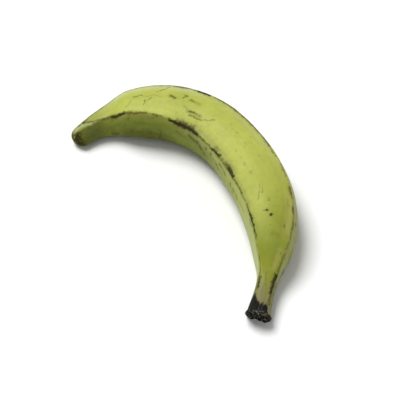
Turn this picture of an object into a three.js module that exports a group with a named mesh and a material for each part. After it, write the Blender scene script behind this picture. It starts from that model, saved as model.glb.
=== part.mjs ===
import * as THREE from 'three';

// A green plantain that lies on its side on a level surface.
// Millimetres and degrees. +Z is up, and +X runs from the flower end to the cut stem.
// The origin is on the surface, under the middle of the fruit's box.
// Angles round the fruit start at the top and grow towards the inside of the bend.

// Size and bend.
const LENGTH = 302; // along the middle line, from the flower scar to the cut
// at: share of the length. heading: where the middle line points, from +X towards +Y.
// halfWidth: from the middle line to a ridge. innerTop: angle of the ridge inside the bend, on top.
// gap: from the surface up to the underside. It is 0 near the flower end, under the belly and at the cut.
const STATIONS = [
  { at: 0, heading: 98, halfWidth: 8, innerTop: -4, gap: 0.6 },
  { at: 0.05, heading: 86, halfWidth: 10, innerTop: 14, gap: 0 },
  { at: 0.1, heading: 68, halfWidth: 13, innerTop: 30, gap: 1 },
  { at: 0.15, heading: 52, halfWidth: 18.5, innerTop: 42, gap: 2 },
  { at: 0.24, heading: 43, halfWidth: 22, innerTop: 50, gap: 2 },
  { at: 0.36, heading: 15, halfWidth: 23.5, innerTop: 58, gap: 0.8 },
  { at: 0.48, heading: -7, halfWidth: 24, innerTop: 58, gap: 0 },
  { at: 0.6, heading: -18, halfWidth: 24.5, innerTop: 56, gap: 0.8 },
  { at: 0.72, heading: -31, halfWidth: 22.5, innerTop: 48, gap: 2.4 },
  { at: 0.82, heading: -43, halfWidth: 16.5, innerTop: 44, gap: 4.4 },
  { at: 0.9, heading: -52, halfWidth: 8.5, innerTop: 36, gap: 4.6 },
  { at: 1, heading: -54, halfWidth: 9.5, innerTop: 30, gap: 0 },
];

// Ridges. The inner bottom one runs halfway between the inner top and the outer bottom ones.
const OUTER_BOTTOM = 214;
const KEEL = 262; // along the outside of the bend
const OUTER_TOP = 308;
const FLATNESS = 0.5; // 0 gives a round fruit, 1 gives flat sides
const RIDGE_SHARPNESS = 12;

const PRESS = 0.35; // depth of the flat spots where it touches the surface

// Ends, as [share of the half width, millimetres along the middle line from that end].
const FLOWER_SCAR = [
  [0, -0.4],
  [0.25, -0.7],
  [0.46, -0.3],
  [0.54, 0.6],
  [0.66, 0.5],
  [0.84, 1.3],
  [0.95, 2.6],
];
const CUT_STEM = [
  [1.03, -1.6],
  [0.97, 0],
  [0.83, -1.2],
  [0.6, -2.3],
  [0.36, -1.3],
  [0.16, -0.2],
  [0, -0.6],
];
const CUT_SLANT = 3; // the top of the cut stands out this much more than its middle
const CUT_TEAR = 1.1; // unevenness of the torn edge, along the stem
const LIP_WAVE = 0.05; // unevenness of the lip, as a share of its half width
const CUT_REACH = 9; // how far up the stem the slant and the tear run out

// Mesh. Columns follow the ridges, so each side between two ridges has its own number of them.
const SIDE_COLUMNS = [9, 9, 6, 6, 12];
const BODY_ROWS = 80;
const FIRST_BODY_ROW = 4.4; // millimetres from the flower end
const LAST_BODY_ROW = 3.2; // millimetres from the cut

const radians = THREE.MathUtils.degToRad;

// One column of STATIONS as a smooth curve, with the slope at each station taken across its neighbours.
function between(column, at) {
  const last = STATIONS.length - 1;
  const slope = (i) => {
    const before = STATIONS[Math.max(i - 1, 0)];
    const after = STATIONS[Math.min(i + 1, last)];
    return (after[column] - before[column]) / (after.at - before.at);
  };
  const past = STATIONS.findIndex((station) => station.at > at);
  const right = past < 0 ? last : Math.max(past, 1);
  const a = STATIONS[right - 1];
  const b = STATIONS[right];
  const step = b.at - a.at;
  const t = (at - a.at) / step;
  const rise = t * t * (3 - 2 * t);
  const bow = t * (1 - t) * (1 - t) * slope(right - 1) - t * t * (1 - t) * slope(right);
  return a[column] + (b[column] - a[column]) * rise + step * bow;
}

// The five ridges' angles, growing, from the inner top one.
function ridgesAt(at) {
  const innerTop = between('innerTop', at);
  return [innerTop, (innerTop + OUTER_BOTTOM) / 2, OUTER_BOTTOM, KEEL, OUTER_TOP];
}

// Distance from the middle line to the skin at an angle, as a share of the half width.
function skinShare(angle, ridges) {
  const sum = ridges.reduce((total, ridge, i) => {
    const next = i + 1 < ridges.length ? ridges[i + 1] : ridges[0] + 360;
    const side = Math.cos(radians(angle - (ridge + next) / 2)) / Math.cos(radians((next - ridge) / 2));
    return total + Math.max(side, 0) ** RIDGE_SHARPNESS;
  }, 0);
  return 1 + FLATNESS * (sum ** (-1 / RIDGE_SHARPNESS) - 1);
}

// Angles of the columns round one ring, from the inner top ridge all the way back to it.
function columnAngles(ridges) {
  const angles = ridges.flatMap((ridge, i) => {
    const next = i + 1 < ridges.length ? ridges[i + 1] : ridges[0] + 360;
    return Array.from({ length: SIDE_COLUMNS[i] }, (_, k) => ridge + ((next - ridge) * k) / SIDE_COLUMNS[i]);
  });
  return [...angles, ridges[0] + 360];
}

// An uneven wave round the stem, between about -1 and 1.
function tear(angle) {
  const a = radians(angle);
  return 0.5 * Math.sin(2 * a + 0.9) + 0.4 * Math.sin(5 * a + 2.1) + 0.3 * Math.sin(9 * a + 4.2);
}

// The straight fruit's outline, as rows of a share of the half width and a distance along the middle line.
function outline() {
  const bodyLength = LENGTH - FIRST_BODY_ROW - LAST_BODY_ROW;
  const body = Array.from({ length: BODY_ROWS }, (_, k) => {
    return [1, FIRST_BODY_ROW + (bodyLength * k) / (BODY_ROWS - 1)];
  });
  const cut = CUT_STEM.map(([share, out]) => [share, LENGTH + out]);
  return [...FLOWER_SCAR, ...body, ...cut].map(([share, along]) => new THREE.Vector2(share, along));
}

// Middle line points for each row, in the plane of the bend.
function middleLine(rows) {
  const point = new THREE.Vector2();
  let from = 0;
  return rows.map((row) => {
    const heading = radians(between('heading', (from + row.y) / 2 / LENGTH));
    point.x += (row.y - from) * Math.cos(heading);
    point.y += (row.y - from) * Math.sin(heading);
    from = row.y;
    return point.clone();
  });
}

// The straight fruit is turned as a lathe shape, then its ridges are raised and it is bent and laid down.
function plantainGeometry() {
  const rows = outline();
  const middle = middleLine(rows);
  const columns = SIDE_COLUMNS.reduce((total, count) => total + count);
  const geometry = new THREE.LatheGeometry(rows, columns);
  const position = geometry.getAttribute('position');
  rows.forEach((row, j) => {
    const at = row.y / LENGTH;
    const heading = radians(between('heading', at));
    const halfWidth = between('halfWidth', at);
    const ridges = ridgesAt(at);
    const angles = columnAngles(ridges);
    const depths = angles.map((angle) => -Math.cos(radians(angle)) * skinShare(angle, ridges) * halfWidth);
    const height = Math.max(...depths) + between('gap', at) - PRESS;
    const nearCut = THREE.MathUtils.smoothstep(row.y, LENGTH - CUT_REACH, LENGTH);
    angles.forEach((angle, i) => {
      const share = row.x * (1 + LIP_WAVE * nearCut * tear(angle + 90));
      const radius = share * skinShare(angle, ridges) * halfWidth;
      const inwards = radius * Math.sin(radians(angle));
      const out = nearCut * share * (CUT_SLANT * Math.cos(radians(angle)) + CUT_TEAR * tear(angle));
      const x = middle[j].x + out * Math.cos(heading) + inwards * Math.sin(heading);
      const y = middle[j].y + out * Math.sin(heading) - inwards * Math.cos(heading);
      const z = height + radius * Math.cos(radians(angle));
      position.setXYZ(i * rows.length + j, x, y, Math.max(z, 0));
    });
  });
  geometry.computeBoundingBox();
  const centre = geometry.boundingBox.getCenter(new THREE.Vector3());
  geometry.translate(-centre.x, -centre.y, 0);
  geometry.computeVertexNormals();
  return geometry;
}

const peel = new THREE.MeshStandardMaterial({ color: 0xa9b653, roughness: 0.5, metalness: 0 });
const plantain = new THREE.Mesh(plantainGeometry(), peel);
plantain.name = 'plantain';

const fruit = new THREE.Group();
fruit.add(plantain);

export default fruit;
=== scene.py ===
"""A green plantain that lies on its side on a pale studio floor.

Sizes in the operators are in metres. Places on the skin are given in millimetres along the
fruit, from its flower end, and in degrees round it: 0 is the top, and angles grow towards
the inside of the bend.
"""

from math import cos, exp, radians, sin

import bmesh
import bpy
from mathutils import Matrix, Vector, noise


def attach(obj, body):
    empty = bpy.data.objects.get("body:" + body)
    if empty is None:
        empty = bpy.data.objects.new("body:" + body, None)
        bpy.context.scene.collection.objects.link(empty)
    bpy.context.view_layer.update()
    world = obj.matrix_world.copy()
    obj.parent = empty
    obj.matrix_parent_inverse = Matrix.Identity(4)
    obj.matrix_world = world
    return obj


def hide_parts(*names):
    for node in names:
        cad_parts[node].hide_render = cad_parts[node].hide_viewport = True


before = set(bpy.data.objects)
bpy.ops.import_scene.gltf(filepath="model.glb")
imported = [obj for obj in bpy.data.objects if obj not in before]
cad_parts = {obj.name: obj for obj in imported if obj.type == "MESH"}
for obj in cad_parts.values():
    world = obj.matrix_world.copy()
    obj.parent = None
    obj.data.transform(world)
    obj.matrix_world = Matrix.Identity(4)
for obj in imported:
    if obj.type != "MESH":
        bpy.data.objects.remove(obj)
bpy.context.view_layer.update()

bl_info = {
    "name": "Green plantain",
    "version": (1, 0, 0),
    "blender": (4, 5, 0),
    "location": "3D View > Sidebar > Plantain",
    "description": "Models a bent, ridged green plantain with a worn peel, and a plain studio for it",
    "category": "Object",
}

MM = 0.001

# Share of the length, heading of the middle line from +X towards +Y, half width in mm,
# angle of the inner top ridge, and gap from the floor up to the underside in mm.
STATIONS = (
    (0, 98, 8, -4, 0.6),
    (0.05, 86, 10, 14, 0),
    (0.1, 68, 13, 30, 1),
    (0.15, 52, 18.5, 42, 2),
    (0.24, 43, 22, 50, 2),
    (0.36, 15, 23.5, 58, 0.8),
    (0.48, -7, 24, 58, 0),
    (0.6, -18, 24.5, 56, 0.8),
    (0.72, -31, 22.5, 48, 2.4),
    (0.82, -43, 16.5, 44, 4.4),
    (0.9, -52, 8.5, 36, 4.6),
    (1, -54, 9.5, 30, 0),
)
HEADING, HALF_WIDTH, INNER_TOP, GAP = 1, 2, 3, 4

# Angles of the ridges that keep their place.
OUTER_BOTTOM = 214
OUTER_SIDE = 262
OUTER_TOP = 308

# Ends of the straight fruit: share of the half width, and mm along from that end.
FLOWER_SCAR = (
    (0, -1.5), (0.25, -1.9), (0.46, -1.5), (0.54, -0.6), (0.68, -0.7), (0.85, 0.1), (0.95, 1.3)
)
CUT_STEM = (
    (1.1, -1.5), (1.04, 0.1), (0.86, -1), (0.6, -2.2), (0.36, -1.2), (0.16, -0.3), (0, -0.7)
)

# Where the body's rows begin and end, in mm from the two ends, and rows between an end's points.
FIRST_BODY_ROW = 4.4
LAST_BODY_ROW = 3.2
END_PARTS = 5

# The cut: its slant and its tear in mm, how uneven its lip is, as a share of its width, and how
# far down the neck this reaches in mm.
CUT_SLANT = 3
CUT_TEAR = 1.1
LIP_WAVE = 0.05
CUT_REACH = 9

# How rough the flower scar is, as a share of the cut.
SCAR_SHARE = 0.5

# The neck's grooves, in mm before the cut: where they begin, and where they are deepest.
GROOVES_FROM = 42
GROOVES_FULL = 8

# Lumps on the lip of the cut: angle, spread in degrees, and height in mm.
LIP_LUMPS = ((78, 13, 1.5), (-118, 12, 1.6), (20, 10, 0.8), (-50, 9, 0.9), (150, 12, 1))

# A slight waist behind the flower end: mm along, length, angle, spread, and depth in mm.
WAIST = (19, 8, 100, 30, 1.2)

BELLY_HALF_WIDTH = 24
PORE_SPACING = 6.25
MERGE_DISTANCE = 0.00001

# The studio. A side is an azimuth from -Y towards +X and an elevation, in degrees.
CAMERA_SIDE = (51, 50)
CAMERA_AIM = (0.00807, -0.0096, 0)
LENS = 133.71
SENSOR_WIDTH = 36
KEY_SIDE = (281, 62)
KEY_SOFTNESS = 32
FLOOR_SEGMENTS = 8

# Marks on the skin: the line that they are measured from, their tone, half their width in mm,
# and their points. A point is mm along the fruit and, from the top line, degrees round it,
# or from one of the ridges, mm across it.
MARKS = (
    # Top.
    ("top", "olive", 1.3, (51, -6), (54, -5)),
    ("top", "olive", 0.9, (54, -5), (57, -9)),
    ("top", "olive", 0.5, (57, -8), (62, 0), (67, -5), (72, 0), (80, 1)),
    ("top", "olive", 0.7, (60, 12), (60, 19)),
    ("top", "olive", 0.5, (60, 19), (59, 27)),
    ("top", "olive", 0.8, (65, 3), (64, 9)),
    ("top", "faint", 0.8, (64, 9), (62, 15)),
    ("top", "faint", 0.9, (49, 11), (45, 25)),
    ("top", "olive", 0.8, (69, -19), (73, -27), (77, -42)),
    ("top", "brown", 1.5, (80, -5), (84, 0)),
    ("top", "brown", 1, (82, -3), (84, 0)),
    ("top", "faint", 0.6, (86, -25), (90, -19)),
    ("top", "brown", 1.1, (91, -17), (92, -15)),
    ("top", "brown", 0.8, (91, -11), (90, -6)),
    ("top", "olive", 1.4, (97, -7), (99, -5)),
    ("top", "faint", 2.6, (97, -6), (104, -4)),
    ("top", "faint", 1.3, (94, 17), (98, 21)),
    ("top", "brown", 1.1, (101, 24), (104, 24)),
    ("top", "olive", 1.2, (104, 24), (108, 23)),
    ("top", "faint", 2.8, (100, 25), (112, 27)),
    ("top", "olive", 1, (111, 24)),
    ("top", "olive", 1.3, (103, 33), (108, 33)),
    ("top", "olive", 1.1, (107, 34), (111, 34), (115, 31)),
    ("top", "olive", 0.6, (115, 29), (120, 23), (124, 11)),
    ("top", "olive", 0.8, (120, 23)),
    ("top", "faint", 1.5, (90, 38)),
    ("top", "faint", 1.2, (136, -10)),
    ("top", "faint", 1.5, (145, -6), (146, -4)),
    ("top", "faint", 1.1, (148, 4)),
    ("top", "faint", 1.3, (154, -26)),
    ("top", "faint", 1.1, (158, -6)),
    ("top", "faint", 1.4, (162, 3)),
    ("top", "faint", 1.3, (162, 24)),
    ("top", "faint", 1.1, (170, 23)),
    ("top", "faint", 1.5, (176, 23), (178, 25)),
    ("top", "faint", 1.6, (175, -14)),
    ("top", "faint", 2.2, (188, 21)),
    ("top", "faint", 1.2, (203, 45)),
    ("top", "faint", 1.2, (210, 13)),
    ("top", "faint", 1.7, (216, 1)),
    ("top", "grey", 0.7, (202, 12), (207, 17), (216, 24)),
    ("top", "grey", 0.6, (204, 7), (210, 12)),
    ("top", "olive", 0.7, (218, 4), (218, 0)),
    ("top", "dark", 1.2, (226, 9)),
    ("top", "olive", 0.8, (226, 9), (226, 17)),
    ("top", "dark", 0.95, (230, 3), (230, -1)),
    ("top", "olive", 0.8, (230, -1), (230, -5)),
    ("top", "faint", 1.2, (223, -10)),
    ("top", "faint", 1.2, (223, -34)),
    ("top", "faint", 1.6, (217, -43), (221, -42)),
    ("top", "olive", 0.9, (238, 4)),
    ("top", "brown", 0.7, (236, -33), (238, -33)),
    ("top", "faint", 2.6, (244, -4), (245, -17)),
    ("top", "olive", 1, (256, -38)),
    # Inner top ridge.
    ("inner", "pale", 1.5, (6, -3.6), (11, -2), (14, -0.6)),
    ("inner", "brown", 0.9, (13, -4.4), (16, -1.8), (21, -0.2), (26, 0.3), (32, 0)),
    ("inner", "tan", 1.1, (18, -0.6), (30, -0.8)),
    ("inner", "dark", 1.6, (32, 0.8), (36, 2)),
    ("inner", "dark", 1.3, (36, 1.8), (39, 1), (43, 0.5)),
    # The tan lines just inside the ridge from 38 to 68 mm are a painted highlight on the ridge's edge.
    ("inner", "tan", 1.2, (38, 2.8), (46, 2)),
    ("inner", "brown", 1.4, (43, 0.4), (52, 0), (62, -0.4)),
    ("inner", "tan", 1, (50, 1.7), (68, 1.4)),
    ("inner", "olive", 0.6, (61, -0.4), (72, -0.6)),
    ("inner", "olive", 1.2, (68, 0.2), (70, 0.4)),
    ("inner", "moss", 1.5, (72, 1)),
    ("inner", "dark", 1.3, (85, 1.4), (92, 1.6)),
    ("inner", "dark", 2.5, (92, 1.5), (98, 1.4), (106, 0.4)),
    ("inner", "dark", 2.3, (106, 0.2), (113, -0.3)),
    ("inner", "brown", 3.8, (95, 0.8), (104, 0.2), (112, -1)),
    ("inner", "dark", 2.1, (113, -0.1), (120, 0.2)),
    ("inner", "moss", 1.6, (120, 0.3), (126, 0.5)),
    ("inner", "moss", 1.2, (124, 0.5), (134, 0.6), (142, 0.6)),
    ("inner", "dark", 1.2, (143, 0.8), (149, 0), (156, -0.4)),
    ("inner", "moss", 1.7, (154, -0.3), (164, -0.3), (172, -0.3)),
    # Smudges along the top side of the inner ridge, darkened further as painted shade.
    ("inner", "dusk", 3.6, (112, -2.6), (138, -2), (160, -3), (182, -2.8)),
    ("inner", "dusk", 2.2, (143, -1), (148, -2.4), (153, -3.2)),
    ("inner", "olive", 1.5, (146, -1.8), (151, -3)),
    ("inner", "dusk", 2.8, (164, -2.8), (171, -2.4)),
    ("inner", "olive", 1.6, (164, -1.6), (170, -1.6)),
    ("inner", "brown", 2, (168, -1.4), (176, -1.2)),
    ("inner", "dark", 1.4, (173, -0.8), (178, -0.7), (183, -0.4)),
    ("inner", "moss", 1.2, (182, 0.2), (192, 0.1), (204, 0.4)),
    ("inner", "olive", 1.2, (206, 0.7), (213, 0.4)),
    ("inner", "dusk", 2.2, (184, -1.8), (216, -1)),
    ("inner", "brown", 1, (217, 0.2), (223, 0.5), (228, 0.3)),
    ("inner", "dark", 1, (226, 0.3), (234, 0.1), (241, -0.1)),
    ("inner", "brown", 1, (240, -0.1), (247, 0)),
    ("inner", "brown", 0.6, (229, 2.6), (231, 3.4), (235, 2.6), (237, 1.2)),
    # Inside the bend.
    ("top", "moss", 0.9, (94, 79), (104, 86)),
    ("top", "moss", 1.5, (110, 74), (114, 76)),
    ("top", "faint", 4.4, (112, 76), (122, 79), (131, 87)),
    ("top", "moss", 2.3, (117, 78)),
    ("top", "moss", 3, (122, 78)),
    ("top", "moss", 3.3, (127, 83), (128, 86)),
    ("top", "moss", 2.8, (133, 95)),
    ("top", "faint", 2.6, (138, 92)),
    ("top", "faint", 2, (127, 99), (128, 106)),
    ("top", "moss", 2.2, (136, 72)),
    ("top", "moss", 2.2, (144, 74)),
    ("top", "moss", 1.3, (154, 80), (159, 85)),
    ("top", "moss", 1.3, (160, 70), (172, 73)),
    ("top", "moss", 1.7, (183, 74), (183, 78)),
    ("top", "moss", 1.5, (189, 76), (192, 77)),
    ("top", "moss", 1.6, (188, 87)),
    ("top", "moss", 1.2, (196, 75), (201, 78)),
    ("top", "moss", 0.6, (206, 72), (217, 70)),
    ("top", "moss", 1.5, (47, 58)),
    ("top", "moss", 1.8, (50, 103)),
    ("top", "moss", 1.5, (66, 102)),
    ("top", "moss", 1.1, (75, 103), (74, 121)),
    ("top", "moss", 0.9, (87, 96)),
    ("top", "faint", 3, (21, 52), (20, 66)),
    ("top", "moss", 1.5, (30, 108), (36, 116)),
    # Outer top ridge.
    ("outer", "brown", 0.9, (-1, 0.2), (6, 0.4), (14, 1.2)),
    ("outer", "brown", 1.3, (8, 1.8)),
    ("outer", "dark", 2, (11.4, 3.4)),
    ("outer", "olive", 1.7, (6.5, 3)),
    ("outer", "brown", 1, (14, 1.4), (24, 0.7), (40, 0.7)),
    ("outer", "olive", 1.5, (40, 0.7), (60, 0.8), (80, 0.8)),
    ("outer", "brown", 1.1, (30, 0.3), (36, 0.4)),
    ("outer", "brown", 1.5, (80, 0.8), (88, 0.8)),
    ("outer", "olive", 1.4, (88, 0.6), (96, 0.8)),
    ("outer", "dark", 1.9, (96, 0.9), (103, 0.9)),
    ("outer", "brown", 1.6, (109, 0.4), (125, 0.3), (138, 0.2), (152, 0)),
    ("outer", "brown", 1.4, (152, 0), (166, 0.2)),
    ("outer", "tan", 3, (165, 1.2), (180, 1), (197, 1)),
    ("outer", "olive", 1, (169, 1.4), (177, 1.2)),
    ("outer", "olive", 0.9, (185, 1), (197, 0.8)),
    ("outer", "brown", 1.2, (206, 0.6), (212, 0.5)),
    ("outer", "olive", 0.7, (210, 0.4), (216, 0.3)),
    ("outer", "tan", 2.2, (216, 3), (224, 2.6), (242, 2.4)),
    ("outer", "brown", 1.2, (223, 0), (226, -0.2)),
    ("outer", "olive", 0.6, (227, -0.5), (234, -1.1)),
    ("outer", "brown", 1.1, (234, -1.2), (238, -1.3)),
    ("outer", "olive", 0.9, (241, -1), (245, -0.8)),
    ("outer", "olive", 0.7, (248, -0.4), (252, 0.2)),
    ("outer", "olive", 0.9, (256, 0.4), (260, 0.2)),
    ("outer", "olive", 1.4, (258, 0.3), (267, 0.2)),
    ("outer", "dark", 2.4, (270.5, 0.6), (273, 0.6)),
    ("outer", "dark", 2, (273, 0.6), (284, 1)),
    ("outer", "brown", 2, (283, 0.9), (294, 0.3)),
    ("outer", "brown", 0.7, (273, -4.3), (279, -4), (286, -2)),
    ("outer", "tan", 2.8, (255, 4.6), (266, 4.2)),
    ("outer", "pale", 3.4, (238, -4), (262, -3.4)),
    # Stem.
    ("top", "dark", 1.2, (275, 35), (282, 34)),
    ("top", "brown", 1.6, (274, 36), (284, 37)),
    ("top", "brown", 2.2, (272, 50), (280, 54), (288, 58)),
    ("top", "brown", 1.4, (284, 40), (292, 42)),
    ("top", "olive", 1.1, (270, 4), (276, -6), (284, -14)),
    # Outside of the bend.
    ("top", "faint", 1.2, (38, -70), (46, -74)),
    ("top", "faint", 1.2, (70, -66), (84, -67)),
    ("top", "faint", 2.4, (96, -78)),
    ("top", "brown", 0.8, (97, -77)),
    ("top", "faint", 1.6, (112, -70)),
    ("top", "moss", 0.9, (120, -84), (128, -88), (131, -86)),
    ("top", "brown", 0.8, (141, -68), (143, -78), (140, -90)),
    ("top", "dark", 1, (142, -74), (142, -80)),
    ("top", "olive", 0.8, (152, -66), (166, -68)),
    ("top", "faint", 3, (176, -82), (180, -80)),
    ("top", "brown", 1, (178, -81)),
    ("top", "olive", 0.8, (192, -74), (197, -72)),
    ("top", "olive", 0.7, (208, -80), (216, -84), (224, -84)),
    ("top", "dark", 0.9, (232, -72)),
    ("top", "faint", 1.8, (240, -82)),
    ("top", "olive", 0.9, (248, -90), (256, -94)),
    # Ridge on the outside of the bend.
    ("top", "brown", 1.2, (24, -98), (40, -98)),
    ("top", "dark", 1.4, (56, -98), (66, -99)),
    ("top", "brown", 0.9, (66, -99), (90, -98)),
    ("top", "dark", 1.9, (118, -98), (130, -97)),
    ("top", "brown", 1.5, (130, -98), (150, -99)),
    ("top", "olive", 1.1, (150, -98), (180, -98)),
    ("top", "dark", 1.3, (196, -98), (210, -98)),
    ("top", "brown", 1.1, (210, -98), (240, -98)),
    ("top", "dark", 1.6, (262, -98), (276, -98)),
    # Underside, with its two ridges.
    ("top", "olive", 0.8, (60, -118), (70, -124)),
    ("top", "faint", 2.6, (100, -120)),
    ("top", "brown", 0.9, (101, -119)),
    ("top", "moss", 0.8, (148, -110), (152, -126)),
    ("top", "faint", 2, (190, -128)),
    ("top", "olive", 0.8, (214, -114), (224, -116)),
    ("top", "brown", 1.3, (50, -146), (74, -146)),
    ("top", "dark", 1.5, (96, -146), (108, -146)),
    ("top", "brown", 1, (108, -146), (140, -146)),
    ("top", "dark", 1.2, (170, -146), (182, -146)),
    ("top", "olive", 1, (200, -146), (240, -146)),
    ("top", "brown", 1.2, (44, 131), (60, 133)),
    ("top", "dark", 1.4, (84, 136), (96, 136)),
    ("top", "brown", 1, (96, 136), (128, 136)),
    ("top", "olive", 1, (150, 136), (190, 135)),
    ("top", "brown", 1.1, (214, 132), (236, 131)),
    ("top", "faint", 2.4, (120, 158)),
    ("top", "olive", 0.8, (160, 150), (172, 154)),
    ("top", "brown", 0.8, (92, 164), (97, 160)),
)


def smooth_curve(points, column, at):
    """One column of a list of points as a smooth curve over the first column."""
    last = len(points) - 1

    def slope(i):
        before = points[max(i - 1, 0)]
        after = points[min(i + 1, last)]
        return (after[column] - before[column]) / (after[0] - before[0])

    right = next((i for i, point in enumerate(points) if point[0] > at), last)
    right = max(right, 1)
    a = points[right - 1]
    b = points[right]
    step = b[0] - a[0]
    t = (at - a[0]) / step
    rise = t * t * (3 - 2 * t)
    bow = t * (1 - t) * (1 - t) * slope(right - 1) - t * t * (1 - t) * slope(right)
    return a[column] + (b[column] - a[column]) * rise + step * bow


def station(column, along, length):
    return smooth_curve(STATIONS, column, along / length)


def smoothstep(value, low, high):
    t = min(max((value - low) / (high - low), 0), 1)
    return t * t * (3 - 2 * t)


def bell(value, middle, spread):
    return exp(-(((value - middle) / spread) ** 2))


def tear(angle):
    """An uneven wave round the stem, between about -1 and 1."""
    a = radians(angle)
    return 0.5 * sin(2 * a + 0.9) + 0.4 * sin(5 * a + 2.1) + 0.3 * sin(9 * a + 4.2)


def ridge_angles(along, length):
    """Angles of the five ridges, growing, from the inner top one."""
    inner_top = station(INNER_TOP, along, length)
    return (inner_top, (inner_top + OUTER_BOTTOM) / 2, OUTER_BOTTOM, OUTER_SIDE, OUTER_TOP)


def skin_share(angle, ridges, flatness, sharpness):
    """Distance from the middle line to the skin at an angle, as a share of the half width."""
    total = 0
    for ridge, following in zip(ridges, (*ridges[1:], ridges[0] + 360)):
        side = cos(radians(angle - (ridge + following) / 2)) / cos(radians((following - ridge) / 2))
        total += max(side, 0) ** sharpness
    return 1 + flatness * (total ** (-1 / sharpness) - 1)


def turn_between(angle, ridge):
    """Signed angle from a ridge to an angle, between -180 and 180."""
    return (angle - ridge + 180) % 360 - 180


def refined(points, parts):
    """More points on the smooth curve through a list of (share, mm) points."""
    numbered = [(i, *point) for i, point in enumerate(points)]
    steps = [k / parts for k in range(parts * (len(points) - 1) + 1)]
    return [(smooth_curve(numbered, 1, at), smooth_curve(numbered, 2, at)) for at in steps]


def outline_rows(length, body_rows, end_parts):
    """The straight fruit's outline, from the flower scar to the cut."""
    body_start = FIRST_BODY_ROW
    body_end = length - LAST_BODY_ROW
    scar = refined([*FLOWER_SCAR, (1, body_start)], end_parts)
    cut = refined([(1, body_end), *[(share, length + out) for share, out in CUT_STEM]], end_parts)
    body = [(1, body_start + (body_end - body_start) * k / body_rows) for k in range(1, body_rows)]
    return [*scar, *body, *cut]


def middle_line(rows, length):
    """Middle line points for each row, in mm in the plane of the bend."""
    point = Vector((0, 0))
    before = 0
    points = []
    for _, along in rows:
        heading = radians(station(HEADING, (before + along) / 2, length))
        point = point + (along - before) * Vector((cos(heading), sin(heading)))
        before = along
        points.append(point)
    return points


class PlantainShape(bpy.types.PropertyGroup):
    """Size and form of the fruit"""

    length: bpy.props.FloatProperty(
        name="Length",
        description="Along the middle line, from the flower scar to the cut",
        default=0.302,
        unit="LENGTH",
    )
    flatness: bpy.props.FloatProperty(
        name="Flatness",
        description="0 gives a round fruit and 1 gives flat sides between its ridges",
        default=0.5,
        subtype="FACTOR",
    )
    ridge_sharpness: bpy.props.FloatProperty(
        name="Ridge sharpness",
        description="Higher gives narrower ridges",
        default=12,
    )
    press: bpy.props.FloatProperty(
        name="Press",
        description="Depth of the flat spots where the fruit touches the floor",
        default=0.00035,
        unit="LENGTH",
    )
    columns: bpy.props.IntProperty(
        name="Columns",
        description="Faces round the fruit",
        default=236,
    )
    body_rows: bpy.props.IntProperty(
        name="Body rows",
        description="Faces along the fruit between its two ends",
        default=330,
    )


def colour_property(name, description, default):
    return bpy.props.FloatVectorProperty(
        name=name, description=description, default=default, subtype="COLOR"
    )


class PlantainPeel(bpy.types.PropertyGroup):
    """Colours and gloss of the peel"""

    sunny: colour_property("Sunny green", "The lightest green, on top of the belly", (0.36, 0.39, 0.07))
    leafy: colour_property("Leafy green", "The darker green towards the stem", (0.21, 0.235, 0.022))
    tip_green: colour_property("Tip green", "The green of the flower end", (0.195, 0.22, 0.05))
    # Partly the peel's own wax bloom, partly painted sheen: reflected light along the top ridges.
    bloom_and_sheen: colour_property("Bloom", "The waxy green beside the top ridges", (0.415, 0.435, 0.2))
    # Used as painted shadow inside the flower end.
    dull: colour_property("Dull green", "The green inside the flower end", (0.108, 0.122, 0.024))
    deep: colour_property("Deep green", "The shaded green inside the bend", (0.158, 0.193, 0.02))
    # Used as painted shade low inside the bend, and for random blotches there.
    murky: colour_property("Murky green", "Dark green low inside the bend", (0.106, 0.12, 0.006))
    # On the inner side of the neck it is partly painted light from the floor.
    pale: colour_property("Pale green", "Light green on both sides of the neck", (0.38, 0.42, 0.18))
    patch: colour_property("Patch", "Greener patches", (0.185, 0.25, 0.035))
    dark: colour_property("Dark bruise", "The darkest marks", (0.025, 0.021, 0.004))
    brown: colour_property("Brown bruise", "Brown marks", (0.095, 0.086, 0.012))
    olive: colour_property("Olive mark", "Scratches, old spots, dull skin", (0.15, 0.155, 0.022))
    moss: colour_property("Moss mark", "Streaks inside the bend", (0.05, 0.066, 0.006))
    grey: colour_property("Grey mark", "Dusty scratches", (0.13, 0.135, 0.065))
    # Partly grey smudges, partly painted shade along the top side of the inner ridge.
    dusk: colour_property("Dusky skin", "Dull skin along the inner ridge", (0.17, 0.165, 0.06))
    # Two tan lines inside the inner top ridge near the flower end are a painted highlight.
    tan: colour_property("Tan scuff", "Dry, rubbed skin on the ridges", (0.37, 0.34, 0.1))
    stem_skin: colour_property("Stem skin", "Drying skin of the neck", (0.178, 0.165, 0.078))
    black: colour_property("Black end", "The dried cut end", (0.007, 0.0075, 0.006))
    fibre: colour_property("Fibre", "Torn fibres in the cut", (0.26, 0.24, 0.18))
    roughness: bpy.props.FloatProperty(
        name="Roughness",
        description="Roughness of sound peel",
        default=0.46,
        subtype="FACTOR",
    )


class PlantainStudio(bpy.types.PropertyGroup):
    """Floor, light and camera"""

    floor_colour: colour_property("Floor", "Colour of the floor", (0.8, 0.8, 0.8))
    floor_size: bpy.props.FloatProperty(
        name="Floor size",
        description="Length of one side of the floor",
        default=6,
        unit="LENGTH",
    )
    sky: bpy.props.FloatProperty(
        name="Sky",
        description="Brightness of the light from all round",
        default=0.47,
    )
    key_light: bpy.props.FloatProperty(
        name="Key light",
        description="Strength of the lamp",
        default=3.2,
    )
    camera_distance: bpy.props.FloatProperty(
        name="Camera distance",
        description="From the camera to the point it looks at",
        default=1.2,
        unit="LENGTH",
    )


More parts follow.
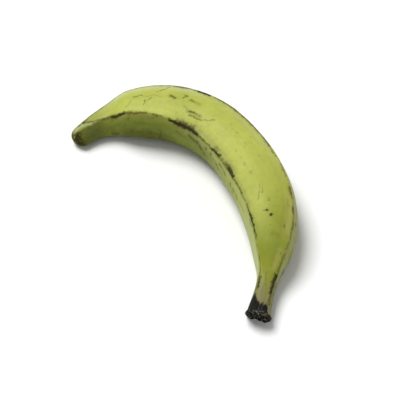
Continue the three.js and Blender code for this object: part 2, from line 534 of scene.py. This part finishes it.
def row_shape(along, shape):
    """One ring's ridges, half width, angles, skin shares, and height of its middle, in mm."""
    length = shape.length / MM
    ridges = ridge_angles(along, length)
    half_width = station(HALF_WIDTH, along, length)
    angles = [360 * k / shape.columns - 180 for k in range(shape.columns + 1)]
    shares = [skin_share(angle, ridges, shape.flatness, shape.ridge_sharpness) for angle in angles]
    depth = max(-cos(radians(a)) * share for a, share in zip(angles, shares)) * half_width
    height = depth + station(GAP, along, length) - shape.press / MM
    return ridges, half_width, angles, shares, height


def skin_relief(place, ridge, half_width, near_stem):
    """Height in mm of the uneven skin over the plain one. The place is on the unbent fruit."""
    along, across, up = place
    plump = half_width / BELLY_HALF_WIDTH
    dents = 0.3 * noise.noise(place / 24)
    swell = 0.1 * noise.noise(Vector((along / 50, across / 5, up / 5)))
    crest = 0.36 * bell(ridge, 0, 1.6)
    nicks = 0.25 * bell(ridge, 0, 2.2) * noise.noise(place / 4.5)
    hollow = 0.25 * bell(abs(ridge), 5.5, 3)
    grooves = 0.35 * near_stem * noise.noise(Vector((along / 14, across / 1.7, up / 1.7)))
    return plump * (dents + swell + crest + nicks - hollow) + grooves


def torn_out(across, up):
    """How far in mm the fibres of the cut stand out."""
    coarse = noise.noise(Vector((across / 2.6, up / 2.6, 5)))
    fine = noise.noise(Vector((across / 0.9, up / 0.9, 9)))
    return 0.9 * coarse + 0.45 * fine


def lip_knobs(angle, along):
    """Lumps in mm round the lip of the cut."""
    a = radians(angle)
    place = Vector((cos(a) * 3.2, sin(a) * 3.2, along / 3))
    lumps = sum(high * bell(turn_between(angle, at), 0, spread) for at, spread, high in LIP_LUMPS)
    return lumps + 0.9 * noise.noise(place) + 0.5 * noise.noise(place * 2.6)


def waist(angle, along):
    """Depth in mm of the slight waist behind the flower end."""
    at, reach, side, spread, depth = WAIST
    return depth * bell(along, at, reach) * bell(angle, side, spread)


def grid_rings(mesh, last_row, columns):
    """The vertices of a square grid of side 1 by row, each with its column."""
    rings = {}
    for vert in mesh.verts:
        row = round((vert.co.x + 0.5) * last_row)
        column = round((vert.co.y + 0.5) * columns)
        rings.setdefault(row, []).append((column, vert))
    return rings


def make_skin(shape):
    """The fruit's skin: a grid rolled round the middle line, with its ridges raised.

    Its attributes are in mm: the place on the unbent fruit, how far past the inner top ridge,
    the outer top ridge and the top line a place is, and how far from the nearest ridge.
    """
    length = shape.length / MM
    rows = outline_rows(length, shape.body_rows, END_PARTS)
    cut_start = len(rows) - 1 - END_PARTS * (len(CUT_STEM) - 2)
    scar_end = END_PARTS * (len(FLOWER_SCAR) - 2)
    middle = middle_line(rows, length)
    mesh = bmesh.new()
    mesh.loops.layers.uv.new("along and round")
    skin = mesh.verts.layers.float_vector.new("skin")
    lines = mesh.verts.layers.float_vector.new("lines")
    ridge_layer = mesh.verts.layers.float.new("ridge")
    bmesh.ops.create_grid(
        mesh, x_segments=len(rows) - 1, y_segments=shape.columns, size=0.5, calc_uvs=True
    )
    for row, verts in grid_rings(mesh, len(rows) - 1, shape.columns).items():
        size, along = rows[row]
        heading = radians(station(HEADING, along, length))
        ahead = Vector((cos(heading), sin(heading), 0))
        inward = Vector((sin(heading), -cos(heading), 0))
        ridges, half_width, angles, shares, height = row_shape(along, shape)
        near_cut = smoothstep(along, length - CUT_REACH, length)
        near_stem = smoothstep(along, length - GROOVES_FROM, length - GROOVES_FULL)
        for column, vert in verts:
            angle = angles[column]
            up = cos(radians(angle))
            across = sin(radians(angle))
            wide = size * (1 + LIP_WAVE * near_cut * tear(angle + 90))
            radius = wide * shares[column] * half_width
            out = near_cut * wide * (CUT_SLANT * up + CUT_TEAR * tear(angle))
            nearest = min((turn_between(angle, ridge) for ridge in ridges), key=abs)
            ridge = radians(nearest) * half_width
            unbent = Vector((along, radius * across, radius * up))
            if row > cut_start:
                out += torn_out(unbent.y, unbent.z) * min(1, (row - cut_start) / END_PARTS)
                radius += size * lip_knobs(angle, along)
            elif row < scar_end:
                rough = SCAR_SHARE * torn_out(unbent.y, unbent.z)
                out += rough * min(1, (scar_end - row) / END_PARTS)
            else:
                radius += skin_relief(unbent, ridge, half_width, near_stem) - waist(angle, along)
            place = middle[row].to_3d() + out * ahead + radius * across * inward
            place.z = max(height + radius * up, 0)
            vert.co = place * MM
            vert[skin] = (along + out, radius * across, radius * up)
            past = [turn_between(angle, line) for line in (ridges[0], OUTER_TOP, 0)]
            vert[lines] = [radians(turn) * half_width for turn in past]
            vert[ridge_layer] = ridge
    bmesh.ops.remove_doubles(mesh, verts=mesh.verts, dist=MERGE_DISTANCE)
    bmesh.ops.recalc_face_normals(mesh, faces=mesh.faces)
    low, high = corners(mesh)
    centre = (low + high) / 2
    bmesh.ops.translate(mesh, verts=mesh.verts, vec=(-centre.x, -centre.y, 0))
    return mesh


def corners(mesh):
    """Lowest and highest corner of a bmesh."""
    low = Vector([min(vert.co[i] for vert in mesh.verts) for i in range(3)])
    high = Vector([max(vert.co[i] for vert in mesh.verts) for i in range(3)])
    return low, high


def finished_object(name, mesh, material):
    """Turns a bmesh into a smooth object at the origin."""
    data = bpy.data.meshes.new(name)
    mesh.to_mesh(data)
    mesh.free()
    data.shade_smooth()
    data.materials.append(material)
    piece = bpy.data.objects.new(name, data)
    bpy.context.scene.collection.objects.link(piece)
    return piece


class Value:
    """A socket that gives a number or a vector. Arithmetic on it adds Math nodes."""

    def __init__(self, maker, socket):
        self.maker = maker
        self.socket = socket

    def __add__(self, other):
        return self.maker.maths("ADD", self, other)

    def __sub__(self, other):
        return self.maker.maths("SUBTRACT", self, other)

    def __rsub__(self, other):
        return self.maker.maths("SUBTRACT", other, self)

    def __mul__(self, other):
        return self.maker.maths("MULTIPLY", self, other)

    __radd__ = __add__
    __rmul__ = __mul__


class NodeMaker:
    """Adds nodes to an empty node tree."""

    def __init__(self, tree):
        self.tree = tree
        tree.nodes.clear()

    def add(self, kind, settings, sockets, output=0):
        """Adds a node, sets it up, and then gives its sockets their values or links."""
        node = self.tree.nodes.new(kind)
        for name, value in settings.items():
            setattr(node, name, value)
        for name, value in sockets.items():
            if isinstance(value, Value):
                self.tree.links.new(value.socket, node.inputs[name])
            else:
                node.inputs[name].default_value = value
        return Value(self, node.outputs[output]) if node.outputs else None

    def maths(self, operation, *values):
        return self.add("ShaderNodeMath", {"operation": operation}, dict(enumerate(values)))

    def lower(self, value, other):
        """The lower of two values, where the first may be missing."""
        return other if value is None else self.maths("MINIMUM", value, other)

    def vector(self, operation, *values, output=0):
        sockets = dict(enumerate(values))
        return self.add("ShaderNodeVectorMath", {"operation": operation}, sockets, output)

    def scaled(self, vector, scale):
        return self.add("ShaderNodeVectorMath", {"operation": "SCALE"}, {0: vector, "Scale": scale})

    def attribute(self, name, output="Vector"):
        return self.add("ShaderNodeAttribute", {"attribute_name": name}, {}, output)

    def parts(self, vector):
        return [self.add("ShaderNodeSeparateXYZ", {}, {0: vector}, axis) for axis in "XYZ"]

    def joined(self, x, y):
        return self.add("ShaderNodeCombineXYZ", {}, {0: x, 1: y})

    def noise(self, place, size, detail=2, output=0):
        """Soft noise round 0.5, with patches of about a size in mm."""
        sockets = {"Vector": place, "Scale": 1 / size, "Detail": detail}
        return self.add("ShaderNodeTexNoise", {}, sockets, output)

    def rise(self, value, low, high):
        """0 up to low and 1 from high, or the other way round when high is the smaller."""
        sockets = {"Value": value, "From Min": low, "From Max": high}
        return self.add("ShaderNodeMapRange", {"interpolation_type": "SMOOTHSTEP"}, sockets)

    def window(self, value, start, full, fading, end):
        """0 outside start and end, and 1 from full to fading."""
        return self.rise(value, start, full) * self.rise(value, end, fading)

    def frayed(self, value, *noises):
        """Moves a value up and down by noise round 0.5. Each noise comes with its full reach."""
        for noise_value, reach in noises:
            value = value + (noise_value - 0.5) * reach
        return value

    def tint(self, amount, below, above):
        """Lays one colour over another."""
        sockets = {0: amount}
        for socket, colour in ((6, below), (7, above)):
            sockets[socket] = colour if isinstance(colour, Value) else (*colour, 1)
        return self.add("ShaderNodeMix", {"data_type": "RGBA"}, sockets, 2)


def new_material(name):
    material = bpy.data.materials.new(name)
    material.use_nodes = True
    return material


def stroke_distance(maker, place, start, end, half_width):
    """Distance from a straight stroke or a dot, where its half width is 1."""
    run = end - start
    if run.length > 0:
        place = maker.vector("SUBTRACT", place, start)
        share = maker.vector("DOT_PRODUCT", place, run / run.length_squared, output="Value")
        nearest = maker.scaled(run, maker.add("ShaderNodeClamp", {}, {"Value": share}))
    else:
        nearest = start
    return maker.vector("DISTANCE", place, nearest, output="Value") * (1 / half_width)


def mark_point(line, point, length):
    """A mark's point in mm along the fruit and mm across its line."""
    along, offset = point
    if line == "top":
        offset = radians(offset) * station(HALF_WIDTH, along, length)
    return Vector((along, offset, 0))


def marks_group(line, tone, length):
    """A node group that gives the distance from the marks of one tone along one line."""
    tree = bpy.data.node_groups.new(f"{tone} marks by the {line}", "ShaderNodeTree")
    tree.interface.new_socket("Place", in_out="INPUT", socket_type="NodeSocketVector")
    tree.interface.new_socket("Distance", in_out="OUTPUT", socket_type="NodeSocketFloat")
    maker = NodeMaker(tree)
    place = maker.add("NodeGroupInput", {}, {}, "Place")
    lowest = None
    for mark_line, mark_tone, half_width, *points in MARKS:
        if (mark_line, mark_tone) == (line, tone):
            ends = [mark_point(line, point, length) for point in points]
            for start, end in zip(ends, ends[1:] or ends):
                lowest = maker.lower(lowest, stroke_distance(maker, place, start, end, half_width))
    maker.add("NodeGroupOutput", {}, {"Distance": lowest})
    return tree


class PeelPainter(NodeMaker):
    """Paints the peel in layers, by places on the skin in mm and by noise round 0.5."""

    def __init__(self, tree, peel, length):
        super().__init__(tree)
        self.peel = peel
        self.length = length
        self.skin = self.attribute("skin")
        self.ridge = self.attribute("ridge", "Fac")
        self.along, self.across, self.up = self.parts(self.skin)
        self.past_inner, self.past_outer, self.past_top = self.parts(self.attribute("lines"))
        # Noise that the layers share. Streaks and fibres run along the fruit.
        self.cloud = self.noise(self.skin, 28, 3)
        self.blotch = self.noise(self.skin, 9, 3)
        self.mottle = self.noise(self.skin, 4, 3)
        self.speck = self.noise(self.skin, 1.6)
        self.streak_place = self.vector("MULTIPLY", self.skin, (0.06, 1, 1))
        self.streak = self.noise(self.streak_place, 2.4, 3)
        self.fibre = self.noise(self.streak_place, 0.7)
        self.drift = (self.cloud - 0.5) * 60 + (self.mottle - 0.5) * 8
        # The sides of the fruit inside and outside the bend, which overlap a little at the top.
        self.inner_half = self.rise(self.across, -7, 0)
        self.outer_half = self.rise(self.across, 4, -3)
        self.colour = peel.sunny

    def lay(self, amount, paint):
        """Lays a paint over the colour so far."""
        self.colour = self.tint(amount, self.colour, paint)

    def paint_body(self):
        """Greens by place, greener patches, wax with painted sheen beside the outer ridge, and dry or
        weathered skin.
        """
        peel = self.peel
        self.lay(self.rise(self.along + self.drift, 150, 285), peel.leafy)
        self.lay(self.rise(self.along + self.drift * 0.3, 50, 4), peel.tip_green)
        greener = self.rise(self.frayed(self.cloud, (self.blotch, 0.6)), 0.52, 0.75)
        self.lay(greener * 0.2, peel.patch)
        patch = self.window(self.frayed(self.along, (self.blotch, 14)), 243, 248, 254, 262)
        patch = patch * self.window(self.frayed(self.past_outer, (self.blotch, 8)), 3, 7, 12, 17)
        self.lay(patch * 0.4, peel.patch)
        # Painted sheen on the top face beside the outer top ridge, laid over the peel's own wax.
        by_outer = self.rise(self.frayed(self.past_outer, (self.streak, 4)), 13, 1) * self.outer_half
        wax_and_sheen = self.window(self.along, 22, 42, 88, 112)
        wax_and_sheen = wax_and_sheen + self.window(self.along, 96, 118, 150, 205) * 0.35
        self.lay(by_outer * wax_and_sheen * 0.85, peel.bloom_and_sheen)
        dry = self.window(self.frayed(self.past_outer, (self.mottle, 5)), -3, 1, 4, 10)
        dry = dry * self.window(self.frayed(self.along, (self.blotch, 12)), 198, 222, 238, 256)
        self.lay(dry * 0.3, peel.tan)
        weathered = self.rise(self.frayed(self.blotch, (self.mottle, 0.9)), 0.46, 0.68)
        weathered = weathered * self.rise(self.past_outer, 28, 10)
        weathered = weathered * self.window(self.along, 178, 205, 244, 264)
        self.lay(weathered * 0.22, peel.olive)

    def paint_inside(self):
        """The darker green inside the bend: partly the skin's own deeper green, partly painted shade,
        darkest at the flower end and low down. Returns how strong it is.
        """
        peel = self.peel
        inside = self.rise(self.frayed(self.past_inner, (self.blotch, 1.5)), -0.9, 1.1)
        inside = inside * self.inner_half
        inside = inside * self.rise(self.along + self.drift * 0.5, 235, 110)
        inside = inside * (1 - self.rise(self.along, 60, 100) * 0.18)
        by_ridge = self.rise(self.frayed(self.past_inner, (self.mottle, 9)), 11, 2)
        shadowed = self.tint(by_ridge * 0.35, peel.deep, peel.sunny)
        # Painted shadow inside the flower end.
        shadowed = self.tint(self.rise(self.along, 30, 14) * 0.85, shadowed, peel.dull)
        # Painted shade low inside the bend.
        murk = self.rise(self.frayed(self.past_inner, (self.blotch, 18)), 13, 21)
        murk = murk * self.window(self.along, 34, 46, 76, 96)
        shadowed = self.tint(murk, shadowed, peel.murky)
        stains = self.rise(self.frayed(self.blotch, (self.mottle, 0.7)), 0.52, 0.66)
        shadowed = self.tint(stains * 0.35, shadowed, peel.murky)
        self.lay(inside, shadowed)
        return inside

    def paint_wax_and_sheen_strips(self):
        """Pale strips of painted sheen over the peel's own wax: below the inner top ridge, and beside
        the outer one at the flower end.
        """
        below_inner = self.window(self.frayed(self.past_inner, (self.mottle, 5)), 1, 2.4, 4.5, 9)
        below_inner = below_inner * self.window(self.along, 94, 110, 188, 215)
        self.lay(below_inner * 0.28, self.peel.bloom_and_sheen)
        at_flower = self.window(self.past_outer, 1, 2, 4.5, 6.5) * self.rise(self.along, 14, 8)
        self.lay(at_flower * 0.5, self.peel.bloom_and_sheen)

    def paint_neck(self):
        """The neck: pale below the inner ridge, where painted light from the floor lies over paler
        skin, and tan and then pale past the outer one.
        """
        peel = self.peel
        # Painted light from the floor on the low inner side of the neck.
        low = self.rise(self.past_inner, 0.4, 4) * self.inner_half
        self.lay(low * self.rise(self.along, 180, 238) * 0.6, peel.pale)
        self.lay(low * self.window(self.along, 238, 260, 273, 283) * 0.85, peel.pale)
        beyond = self.rise(self.past_outer, 0.5, -1.5) * self.outer_half
        self.lay(beyond * self.window(self.along, 205, 226, 262, 278) * 0.3, peel.tan)
        self.lay(beyond * self.window(self.along, 252, 266, 290, 300) * 0.4, peel.pale)

    def vary_brightness(self, inside):
        """Brightens and darkens the greens in streaks and blotches, and paints light on two places
        beside the inner top ridge.
        """
        shade = self.frayed(1, (self.streak, 0.14), (self.blotch, 0.22), (self.mottle, 0.26))
        # Painted light on the top side of the inner ridge, near the flower end and on the neck.
        painted_light_near_ridge = self.window(self.past_inner, -16, -7, -3, 0.5)
        painted_light_near_ridge = painted_light_near_ridge * self.window(self.along, 6, 18, 104, 126)
        painted_light_by_neck = self.window(self.past_inner, -20, -12, -6, -1)
        painted_light_by_neck = painted_light_by_neck * self.window(self.along, 204, 218, 234, 246)
        shade = shade + painted_light_near_ridge * 0.12 + painted_light_by_neck * 0.14
        shade = shade + inside * ((self.mottle - 0.5) * 0.4 + (self.streak - 0.5) * 0.3)
        self.colour = self.scaled(self.colour, shade)

    def wear_ridges(self):
        """Broken brown lines with a dry edge on every ridge. Returns where the lines are."""
        wear = self.noise(self.vector("MULTIPLY", self.skin, (0.12, 0.4, 0.4)), 1.3, 3)
        off_ridge = self.maths("ABSOLUTE", self.frayed(self.ridge, (self.speck, 0.9)))
        body = self.window(self.along, 14, 30, 270, 292)
        dry_edge = self.rise(off_ridge, 1.7, 0.4) * self.rise(wear, 0.47, 0.6) * body
        self.lay(dry_edge * 0.3, self.peel.tan)
        brown_line = self.rise(off_ridge, 0.75, 0.2) * self.rise(wear, 0.53, 0.62) * body
        self.lay(brown_line * 0.75, self.peel.brown)
        return brown_line

    def mark_depths(self, places):
        """For each tone, 1 on the middle line of its marks, 0 at their edges and less outside."""
        lowest = {}
        for line, tone in sorted({(line, tone) for line, tone, *_ in MARKS}):
            settings = {"node_tree": marks_group(line, tone, self.length)}
            distance = self.add("ShaderNodeGroup", settings, {"Place": places[line]})
            lowest[tone] = self.lower(lowest.get(tone), distance)
        return {tone: 1 - distance for tone, distance in lowest.items()}

    def draw_marks(self, worn):
        """The marks, with frayed edges and a faint halo. Returns where the peel is worn."""
        peel = self.peel
        jitter = self.vector("SUBTRACT", self.noise(self.skin, 3.3, 3, "Color"), (0.5, 0.5, 0.5))
        wobble = self.scaled(jitter, 3.4)
        lines = {"inner": self.past_inner, "outer": self.past_outer, "top": self.past_top}
        places = {}
        for line, past in lines.items():
            places[line] = self.vector("ADD", self.joined(self.along, past), wobble)
        depths = self.mark_depths(places)
        breakup = (self.speck - 0.5) * 1.1 + (self.streak - 0.5) * 0.9 + (self.mottle - 0.5) * 0.8
        halo = self.rise(self.maths("MAXIMUM", depths["dark"], depths["brown"]) + breakup, -1.5, 0.4)
        self.lay(halo * self.rise(self.along, 271, 262) * 0.38, peel.olive)
        # Each tone's paint, its strength, and the depth in a mark where it is full.
        tones = {
            "pale": (peel.bloom_and_sheen, 0.45, 1),
            "dusk": (peel.dusk, 0.45, 1.1),
            "tan": (peel.tan, 0.45, 1),
            "faint": (peel.olive, 0.45, 1),
            "grey": (peel.grey, 0.5, 0.8),
            "moss": (peel.moss, 0.75, 1),
            "olive": (peel.olive, 0.8, 0.85),
            "brown": (peel.brown, 0.88, 0.75),
            "dark": (peel.dark, 0.96, 0.7),
        }
        for tone, (paint, strength, full) in tones.items():
            mask = self.rise(depths[tone] + breakup, -0.35, full) * strength
            self.lay(mask, paint)
            worn = self.maths("MAXIMUM", worn, mask)
        return worn

    def add_pores(self):
        """Small dark pores, in a few of the cells only."""
        cells = {"Vector": self.skin, "Scale": 1 / PORE_SPACING}
        chosen = self.parts(self.add("ShaderNodeTexVoronoi", {}, cells, "Color"))[0]
        pores = self.rise(self.add("ShaderNodeTexVoronoi", {}, cells, "Distance"), 0.09, 0.05)
        pores = pores * self.rise(chosen, 0.6, 0.65)
        self.lay(pores * 0.5, self.peel.olive)

    def dry_stem(self, worn):
        """The neck dries towards the cut, and its end is black. Returns where it is black."""
        peel = self.peel
        drying = self.rise(self.frayed(self.along, (self.mottle, 14), (self.streak, 24)), 268, 289)
        self.lay(drying * 0.88 * (1 - worn), peel.stem_skin)
        inner_side = self.maths("MINIMUM", self.maths("MAXIMUM", self.across, 0), 4.7)
        green_strip = self.window(self.past_outer + (self.fibre - 0.5), -9, -6, -0.6, 1.2)
        black_from = 295.5 - inner_side * 1.5 + green_strip * 9
        black_from = self.frayed(black_from, (self.mottle, 8), (self.fibre, 6))
        unslanted = self.along - self.up * (CUT_SLANT / STATIONS[-1][HALF_WIDTH])
        in_cut = self.rise(unslanted, self.length - 3, self.length - 1)
        black_end = self.maths("MAXIMUM", self.rise(self.along - black_from, -1.8, 1.8), in_cut)
        self.lay(black_end, peel.black)
        ashen = self.rise(self.noise(self.streak_place, 1.2, 3), 0.5, 0.7) * black_end
        self.lay(ashen * 0.1, peel.fibre)
        flecks = self.frayed(self.noise(self.skin, 1.1), (self.mottle, 0.5))
        self.lay(self.rise(flecks, 0.53, 0.66) * in_cut * 0.7, peel.fibre)
        return black_end

    def dry_flower_end(self):
        """The flower end dries from its scar. Returns where it is brown."""
        peel = self.peel
        from_scar = self.frayed(self.along, (self.mottle, 6), (self.fibre, 9))
        dull = self.rise(from_scar, 8, 0) * self.rise(self.past_inner, -1, 2) * self.inner_half
        self.lay(dull * 0.6, peel.olive)
        scar_edge = self.window(self.past_inner, -2, 1.5, 16, 22) * 3.4 - 1.2
        tip = self.rise(from_scar - scar_edge, 3.6, -1.4)
        self.lay(tip * 0.75, peel.brown)
        scar = self.rise(self.frayed(from_scar, (self.speck, 9)) - scar_edge, 1, -2.4)
        self.lay(scar * 0.85, peel.dark)
        return tip

    def add_surface(self, worn, black_end, tip):
        """Gives the skin its colour, its gloss and its finest relief."""
        dried = self.maths("MAXIMUM", black_end, tip)
        roughness = self.peel.roughness + (self.blotch - 0.5) * 0.12 + worn * 0.2 + dried * 0.35
        height = (self.speck - 0.5) * 0.5 + (self.fibre - 0.5) * 0.35 - worn * 0.6
        height = height + (self.blotch - 0.5) * 0.8
        height = height + (self.fibre - 0.5) * 6 * black_end
        relief = {"Strength": 0.6, "Distance": 0.00025, "Height": height}
        sockets = {
            "Base Color": self.colour,
            "Roughness": roughness,
            "Normal": self.add("ShaderNodeBump", {}, relief),
            "Specular IOR Level": 0.12,
        }
        surface = self.add("ShaderNodeBsdfPrincipled", {}, sockets)
        self.add("ShaderNodeOutputMaterial", {}, {"Surface": surface})


def peel_material(peel, length):
    """The peel: greens by place, worn ridges, marks, pores, and the two dry ends."""
    material = new_material("green peel")
    painter = PeelPainter(material.node_tree, peel, length)
    painter.paint_body()
    inside = painter.paint_inside()
    painter.paint_wax_and_sheen_strips()
    painter.paint_neck()
    painter.vary_brightness(inside)
    worn = painter.draw_marks(painter.wear_ridges())
    painter.add_pores()
    black_end = painter.dry_stem(worn)
    tip = painter.dry_flower_end()
    painter.add_surface(worn, black_end, tip)
    return material


def floor_material(colour):
    material = new_material("floor")
    maker = NodeMaker(material.node_tree)
    surface = maker.add("ShaderNodeBsdfPrincipled", {}, {"Base Color": (*colour, 1), "Roughness": 0.9})
    maker.add("ShaderNodeOutputMaterial", {}, {"Surface": surface})
    return material


class PLANTAIN_OT_fruit(bpy.types.Operator):
    """Models the fruit and gives it its peel"""

    bl_idname = "plantain.fruit"
    bl_label = "Make the fruit"

    def execute(self, context):
        shape = context.scene.plantain_shape
        mesh = make_skin(shape)
        material = peel_material(context.scene.plantain_peel, shape.length / MM)
        piece = finished_object("plantain_skin", mesh, material)
        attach(piece, "root")
        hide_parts("plantain")
        return {"FINISHED"}


def direction(azimuth, elevation):
    """Unit vector towards a place seen at an azimuth from -Y towards +X, and an elevation."""
    a = radians(azimuth)
    e = radians(elevation)
    return Vector((sin(a) * cos(e), -cos(a) * cos(e), sin(e)))


def add_sun(name, side, strength, softness):
    data = bpy.data.lights.new(name, "SUN")
    data.energy = strength
    data.angle = radians(softness)
    lamp = bpy.data.objects.new(name, data)
    lamp.rotation_euler = direction(*side).to_track_quat("Z", "Y").to_euler()
    bpy.context.scene.collection.objects.link(lamp)


class PLANTAIN_OT_studio(bpy.types.Operator):
    """Lays the floor, hangs the lamp and sets up the camera"""

    bl_idname = "plantain.studio"
    bl_label = "Set up the studio"

    def execute(self, context):
        studio = context.scene.plantain_studio
        mesh = bmesh.new()
        bmesh.ops.create_grid(
            mesh, x_segments=FLOOR_SEGMENTS, y_segments=FLOOR_SEGMENTS, size=studio.floor_size / 2
        )
        floor = finished_object("floor", mesh, floor_material(studio.floor_colour))
        add_sun("key light", KEY_SIDE, studio.key_light, KEY_SOFTNESS)
        world = bpy.data.worlds.new("studio")
        world.use_nodes = True
        world.node_tree.nodes["Background"].inputs["Strength"].default_value = studio.sky
        world.node_tree.nodes["Background"].inputs["Color"].default_value = (1, 1, 1, 1)
        context.scene.world = world
        context.scene.view_settings.view_transform = "Standard"
        data = bpy.data.cameras.new("camera")
        data.sensor_width = SENSOR_WIDTH
        data.lens = LENS
        camera = bpy.data.objects.new("camera", data)
        back = direction(*CAMERA_SIDE)
        camera.location = Vector(CAMERA_AIM) + back * studio.camera_distance
        camera.rotation_euler = back.to_track_quat("Z", "Y").to_euler()
        context.scene.collection.objects.link(camera)
        context.scene.camera = camera
        return {"FINISHED"}


class PLANTAIN_PT_panel(bpy.types.Panel):
    """Lists the steps and their sizes"""

    bl_label = "Plantain"
    bl_idname = "PLANTAIN_PT_panel"
    bl_space_type = "VIEW_3D"
    bl_region_type = "UI"
    bl_category = "Plantain"

    def draw(self, context):
        scene = context.scene
        for group in (scene.plantain_shape, scene.plantain_peel, scene.plantain_studio):
            for name in group.__annotations__:
                self.layout.prop(group, name)
        self.layout.operator("plantain.fruit")
        self.layout.operator("plantain.studio")


CLASSES = (
    PlantainShape,
    PlantainPeel,
    PlantainStudio,
    PLANTAIN_OT_fruit,
    PLANTAIN_OT_studio,
    PLANTAIN_PT_panel,
)


def register():
    for part in CLASSES:
        bpy.utils.register_class(part)
    bpy.types.Scene.plantain_shape = bpy.props.PointerProperty(type=PlantainShape)
    bpy.types.Scene.plantain_peel = bpy.props.PointerProperty(type=PlantainPeel)
    bpy.types.Scene.plantain_studio = bpy.props.PointerProperty(type=PlantainStudio)


def unregister():
    del bpy.types.Scene.plantain_shape
    del bpy.types.Scene.plantain_peel
    del bpy.types.Scene.plantain_studio
    for part in reversed(CLASSES):
        bpy.utils.unregister_class(part)


def main():
    """Makes the fruit and its studio."""
    register()
    bpy.ops.plantain.fruit()
    bpy.ops.plantain.studio()


if __name__ == "__main__":
    main()
